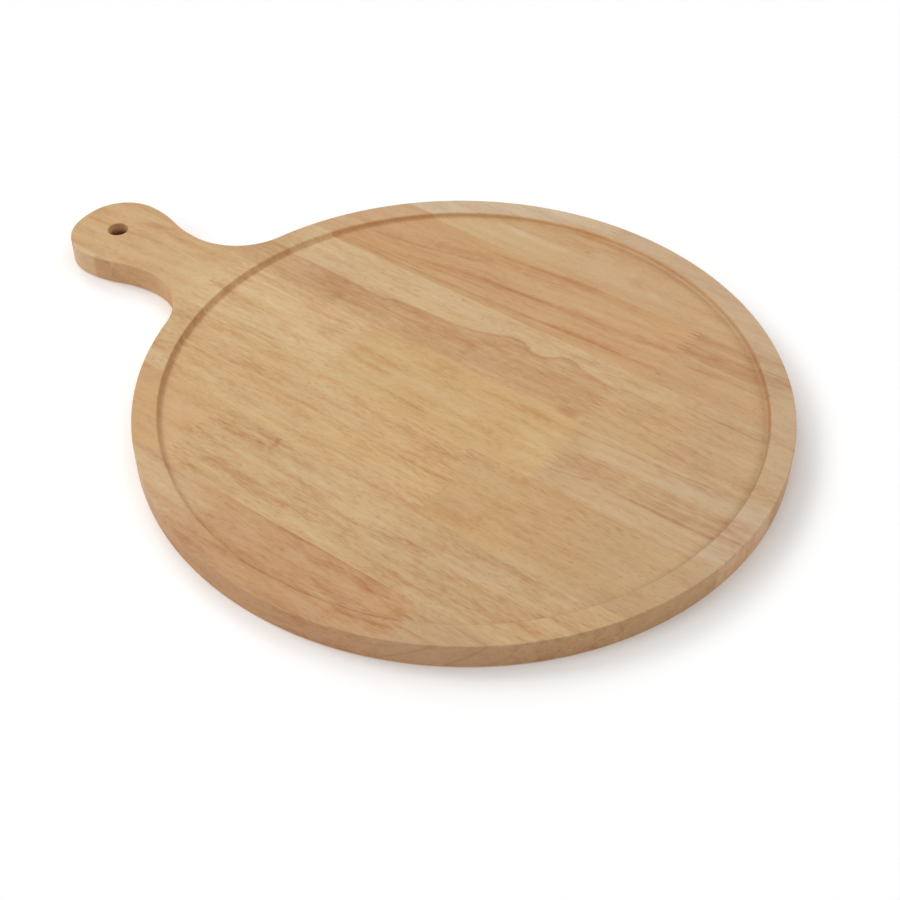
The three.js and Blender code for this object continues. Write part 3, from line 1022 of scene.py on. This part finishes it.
# Its sides get painted light; its rim tint and the cool tint toward its right end are a painted
# grey sheen.
dress("middle_block_right", "pink_wood", (199, 165, 126), (11.8, 4, -160, 20, 0.02, 0.08, 0.5, 0.1),
      rim=(1, 1.03, 1.14), side=(1.1, 1.02, 1), fading=[(90, 150, (0.95, 0.97, 1.03))], pores=0.25,
      streaks=[
          (50, 180, 8.8, 13.2, 18.2, 1, -0.4),
          (58, 114, 14.6, 15.4, 16.3, 1.9, 0.22),
          (97, 180, 9.5, 11.5, 13, 2.3, -0.14),
          (70, 180, 1.5, 5, 8.5, 1.9, 0.18),
          (74, 180, -1.2, 0, 1.4, 0.8, -0.22),
          (64, 180, -3.4, -2.2, -0.6, 1, -0.18),
          (62, 180, -9, -8.5, -6.5, 8, -0.42),
          (64, 180, 4, 5.5, 7, 7, 0.15),
          (64, 180, -26, -25, -24, 9, 0.12),
          (66, 180, -7.6, -7, -5.4, 0.7, 0.1),
          (66, 180, -18.4, -14.4, -11.2, 0.9, 0.25),
          (54, 92, -21.4, -20.8, -15.4, 1.2, -0.42),
          (82, 180, -16, -16, -13, 1.1, -0.38),
          (92, 180, -29.5, -29.5, -29, 1.9, 0.18),
      ])

# %% [markdown]
# ## The lower stave
# Both blocks are full of short dark flecks, most of them along the upper seam, and one rust line
# runs through both. A thin strip of the stave is left past the waist as the near cheek of the
# handle, and it is the palest wood on the board.

# %% Wood of the lower stave
dress("lower_block_left", "pink_wood", (206, 170, 126), (12.5, 6, -20, 40, 0, 0.1, 0.64, 0.16),
      rim=(1, 1.02, 1.06), pores=0.4, streaks=[
          (-154, -110, -57.5, -57.7, -57.8, 0.9, -0.28),
          (-152, -106, -62, 0.9, 0.25),
          (-84, 45, -57.5, -57.8, -58.5, 1.4, -0.22),
          (0, 40, -58.6, -58.6, -58, 1.2, -0.22),
          (-48, -32, -37, -37.5, -38, 1.2, -0.42),
          (-41, -32, -39.8, -39.8, -40, 1, -0.32),
          (-13, -4, -39, 1.2, -0.32),
          (-61, -53, -38, -39, -40, 1.3, -0.28),
          (-54, -26, -42, 1, 0.28),
          (-142, -108, -42.5, -42.3, -42.5, 0.9, -0.18),
          (-154, -93, -50, 1, -0.14),
          (-9, 1, -43, -42.5, -42, 1, -0.28),
          (-106, -97, -56, -57.5, -60, 1.1, -0.22),
          (-142, -98, -75, 0.9, -0.16),
          (9, 16, -70, -74, -79, 5, -0.14),
          (0, 44, -62, 34, -0.06),
      ])
# The cool tint toward its right end is a painted grey sheen.
dress("lower_block_right", "golden_wood", (199, 162, 118), (13.9, 6, -20, 40, 0, 0.1, 0.42, 0.16),
      rim=(0.97, 0.98, 1.04), fading=[(60, 140, (0.93, 0.96, 1.04))], pores=0.45, streaks=[
          (24, 37, -36, -38, -41, 4, -0.26),
          (52, 180, -33.2, -33, -32.6, 1.2, -0.24),
          (60, 68, -36, -37, -38, 2.8, -0.28),
          (74, 82, -38.3, -38.6, -39, 1.1, -0.42),
          (79, 91, -44, -43, -42.5, 0.9, -0.28),
          (92, 102, -44.5, -45, -45.5, 1, -0.32),
          (116, 124, -36, -36.5, -37, 2, -0.35),
          (125, 132, -36, 1.1, -0.28),
          (43, 51, -33.8, -35.5, -37, 1.1, -0.28),
          (95, 105, -38, -38.5, -39, 1, -0.28),
          (128, 152, -41, -42, -42, 0.9, -0.22),
          (20, 128, -57.6, -57, -58, 2, -0.2),
          (43, 77, -56.5, -57, -57, 1.3, -0.18),
          (79, 93, -58.5, -59, -59.5, 1.3, -0.22),
          (57, 64, -66, -70, -74, 6, -0.18),
          (18, 62, -62, 34, 0.12),
      ])
dress("handle_cheek_near", "pale_wood", (212, 182, 145), (14.2, 6, -60, 30, 0, 0.12, 0.35, 0.14),
      fading=[(-245, -242, (0.88, 0.76, 0.66))])

# %% [markdown]
# ## The near stave
# A short reddish block on the left meets a long pale gold one with fine close lines. A dark fleck
# stands across the grain not far from the joint.

# %% Wood of the near stave
dress("near_block_left", "red_brown_wood", (207, 170, 126),
      (15.5, 7, -30, 40, 0, 0.08, 0.35, 0.14), rim=(0.97, 0.93, 0.92), streaks=[
          (-170, -80, -91, -91.5, -92.5, 6, -0.2),
          (-106, -90, -103, -108, -113, 6, -0.16),
          (-142, -108, -112, 1.1, -0.1),
      ])
# The cool tint toward its right end is a painted grey sheen.
dress("near_block_right", "pale_wood", (202, 167, 125), (16.1, 4, -30, 40, 0, 0.1, 0.72, 0.16),
      rim=(1.02, 1.02, 1.02), fading=[(0, 70, (0.93, 0.92, 0.94))], pores=0.4, streaks=[
          (-106, -83, -88.5, -88.5, -89, 1.4, 0.38),
          (-106, -81, -91.5, -92, -92, 1.1, 0.32),
          (-103, -83, -97, -97.5, -98, 1.1, 0.22),
          (-57.5, -51.5, -86, -88, -90, 3.2, -0.55),
          (-57.5, -51.5, -91, -93, -95, 2.7, -0.32),
          (-57, -47, -96, -97, -98, 2.1, -0.22),
          (-44, 54, -93.5, -93.8, -93.5, 0.7, -0.2),
          (-29, 49, -96, -96.2, -96, 0.7, -0.18),
          (-34, 54, -98.3, -98.5, -98, 0.7, -0.18),
          (-29, 54, -100.8, -100.6, -100.5, 0.8, -0.22),
          (-24, 59, -103.2, -103, -103, 0.7, -0.16),
          (-44, 64, -109, -108.5, -108, 0.9, -0.18),
          (18, 62, -85.5, -85.3, -85.2, 1.1, -0.22),
          (-2, 24, -88, -88, -89, 2.1, 0.16),
          (-83, -73, -127.5, 1.1, -0.32),
          (109, 121, -112, 0.8, -0.32),
          (38, 62, -122, -124, -126, 1.3, -0.18),
      ])

# %% [markdown]
# ## The near edge stave
# The left block is the reddest. Its rings close in an eye, and two dark lines sweep up round it to
# the joint. The small block on the right is pale, and its rings slant down through the edge of
# the board.

# %% Wood of the near edge stave
# Its sides get extra painted shade.
dress("near_edge_block_left", "red_brown_wood", (195, 154, 115),
      (17.4, 5, -200, 30, 0, 0.1, 0.66, 0.14), rim=(0.98, 0.97, 0.97), side=(0.95, 0.91, 0.92),
      fading=[(-40, -90, (1.1, 1.2, 1.28))], streaks=[
          (-115, -53, -134.4, -134.6, -135, 0.9, -0.28),
          (-62, -18, -136, -137.5, -138, 1.3, -0.22),
          (-22, 32, -133.3, -133, -133, 1, -0.22),
          (-84, -56, -148, -150, -150, 4.2, 0.14),
          (12, 54, -138.4, -136, -139, 1.1, -0.22),
          (10, 26, -139, -143, -148, 4, -0.12),
          (16, 52, -147, -150.5, -147, 1.1, -0.25),
          (33, 53, -136, -139, -144, 4, -0.16),
          (34, 90, -137, -139, -141, 8, -0.2),
          (-24, 46, -160.5, -159, -155.5, 1.2, -0.3),
          (38, 80, -156.3, -151.5, -141.5, 1.3, -0.65),
          (13, 47, -155, -154.3, -152, 0.9, 0.4),
          (42, 80, -152.4, -148.5, -139.5, 0.9, 0.35),
          (38, 80, -160.4, -156, -147.5, 1.7, -0.45),
          (-54, 34, -163, -162, -160.5, 1.3, -0.22),
          (-140, -44, -138, -146, -152, 10, 0.4),
          (-60, 75, -131.6, 1.2, -0.2),
      ])
dress("near_edge_block_right", "pale_wood", (196, 161, 124),
      (18.6, 6, -200, 30, 0, 0.08, 0.35, 0.1), rim=(0.96, 0.97, 1), tilt=0.81, streaks=[
          (50, 140, -137.5, -137.5, -137.4, 1, -0.34),
          (50, 140, -151.5, -151.5, -151.4, 1, -0.34),
          (70, 98, -134, -133.4, -132.5, 0.9, -0.16),
      ])

# %% [markdown]
# ## Floor, light and camera
# The board lies on white under soft light from all round, strongest from the handle's side and
# from the right. A ring of broad sun lamps lights the wood alone, so each can be set by how bright
# one part of the recess wall or of the outer side is. Other lamps light the floor alone: three
# low ones throw the soft shadow to the right and one overhead keeps it pale. The floor and the
# world show as white to the camera, but they send less light back, because a bright floor would
# wash out the side of the board. From below the floor is see-through, and a weak lamp there
# shows the underside.

# %% A white floor that keeps the shadow
FLOOR_SIZE = 8
FLOOR_GAP = 0.2 * MM
FLOOR_ALBEDO = 0.75
FLOOR_SHOWN = (0.96, 0.96, 0.96, 1)
WHITE = (1, 1, 1, 1)


def camera_ray(tree):
    """1 for rays that come straight from the camera."""
    return add_node(tree, "ShaderNodeLightPath").outputs["Is Camera Ray"]


def mix_shaders(tree, share, first, second):
    """One shader where the share is 0, the other where it is 1."""
    mix = add_node(tree, "ShaderNodeMixShader")
    for socket, value in zip(mix.inputs, (share, first.outputs[0], second.outputs[0])):
        feed(tree, socket, value)
    return mix


def floor_material():
    material = bpy.data.materials.new("white_floor")
    material.use_nodes = True
    tree = material.node_tree
    tree.nodes.remove(tree.nodes["Principled BSDF"])
    bounce = add_node(tree, "ShaderNodeBsdfDiffuse")
    bounce.inputs["Color"].default_value = (FLOOR_ALBEDO, FLOOR_ALBEDO, FLOOR_ALBEDO, 1)
    shown = add_node(tree, "ShaderNodeBsdfDiffuse")
    shown.inputs["Color"].default_value = FLOOR_SHOWN
    above = mix_shaders(tree, camera_ray(tree), bounce, shown)
    underneath = add_node(tree, "ShaderNodeNewGeometry").outputs["Backfacing"]
    one_sided = mix_shaders(tree, underneath, above, add_node(tree, "ShaderNodeBsdfTransparent"))
    feed(tree, tree.nodes["Material Output"].inputs["Surface"], one_sided.outputs[0])
    return material


def make_floor():
    bm = bmesh.new()
    bmesh.ops.create_grid(bm, x_segments=1, y_segments=1, size=FLOOR_SIZE / 2)
    floor = new_object("floor", bm)
    floor.location.z = -FLOOR_GAP
    floor.data.materials.append(floor_material())
    return floor


floor = make_floor()
print(f"{floor.name}: {FLOOR_SIZE} m across, {FLOOR_GAP / MM:.1f} mm below the board")

# %% A white world that gives a weak even light
WORLD_LIGHT = 0.12


def make_world():
    world = bpy.data.worlds.new("white_world")
    bpy.context.scene.world = world
    world.use_nodes = True
    tree = world.node_tree
    shown = tree.nodes["Background"]
    shown.inputs["Color"].default_value = WHITE
    shown.inputs["Strength"].default_value = 1
    light = add_node(tree, "ShaderNodeBackground")
    light.inputs["Color"].default_value = WHITE
    light.inputs["Strength"].default_value = WORLD_LIGHT
    mix = mix_shaders(tree, camera_ray(tree), light, shown)
    feed(tree, tree.nodes["World Output"].inputs["Surface"], mix.outputs[0])


make_world()

# %% A ring of lamps for the wood and lamps for the floor
def add_lamp(name, azimuth, height, breadth, strength):
    """A sun with soft edges, given by its direction."""
    lamp = bpy.data.lights.new(name, "SUN")
    lamp.energy = strength
    lamp.angle = radians(breadth)
    made = bpy.data.objects.new(name, lamp)
    bpy.context.scene.collection.objects.link(made)
    source = Vector((cos(radians(azimuth)), sin(radians(azimuth)), 0)) * cos(radians(height))
    source += UP * sin(radians(height))
    made.location = source
    made.rotation_euler = source.to_track_quat("Z", "Y").to_euler()
    return made


def shine_on(lamp, things):
    """Let a lamp light only some of the objects, and return their collection."""
    lit = bpy.data.collections.new(lamp.name + "_lights")
    for thing in things:
        lit.objects.link(thing)
    lamp.light_linking.receiver_collection = lit
    return lit


for name, azimuth, height, breadth, strength in (
    ("left_lamp", 192, 46, 30, 1.62),
    ("right_lamp", 46, 27, 30, 1.3),
    ("back_lamp", 100, 32, 40, 0.4),
    ("front_left_lamp", 235, 32, 40, 0.75),
    ("front_right_lamp", 310, 32, 40, 0.72),
):
    shine_on(add_lamp(name, azimuth, height, breadth, strength), blocks.values())
for name, azimuth, height, breadth, strength in (
    ("near_shadow_lamp", 150, 37, 22, 0.5),
    ("shadow_lamp", 190, 37, 22, 0.9),
    ("far_shadow_lamp", 230, 37, 22, 0.5),
    ("floor_lamp", 0, 90, 90, 1.75),
):
    shine_on(add_lamp(name, azimuth, height, breadth, strength), [floor])
under_lamp = add_lamp("under_lamp", 0, -90, 10, 1.2)
under_lamp.light_linking.blocker_collection = shine_on(under_lamp, blocks.values())
print(f"{len(bpy.data.lights)} lamps")

# %% Camera
LENS = 60
SENSOR = 36
CAMERA_AZIMUTH = radians(34.665)
CAMERA_HEIGHT = radians(43.816)
CAMERA_ROLL = radians(0.22)
CAMERA_DISTANCE = 0.76427
CAMERA_AIM = Vector((0.0212, -0.04314, 0.015))


def make_camera():
    camera = bpy.data.cameras.new("camera")
    camera.lens = LENS
    camera.sensor_width = SENSOR
    camera.sensor_fit = "HORIZONTAL"
    made = bpy.data.objects.new("camera", camera)
    bpy.context.scene.collection.objects.link(made)
    out = Vector((sin(CAMERA_AZIMUTH), -cos(CAMERA_AZIMUTH), 0)) * cos(CAMERA_HEIGHT)
    out += UP * sin(CAMERA_HEIGHT)
    turn = out.to_track_quat("Z", "Y") @ Matrix.Rotation(CAMERA_ROLL, 3, "Z").to_quaternion()
    made.rotation_euler = turn.to_euler()
    made.location = CAMERA_AIM + out * CAMERA_DISTANCE
    bpy.context.scene.camera = made
    print("camera at", [round(value, 4) for value in made.location])


make_camera()
bpy.context.scene.view_settings.view_transform = "Standard"
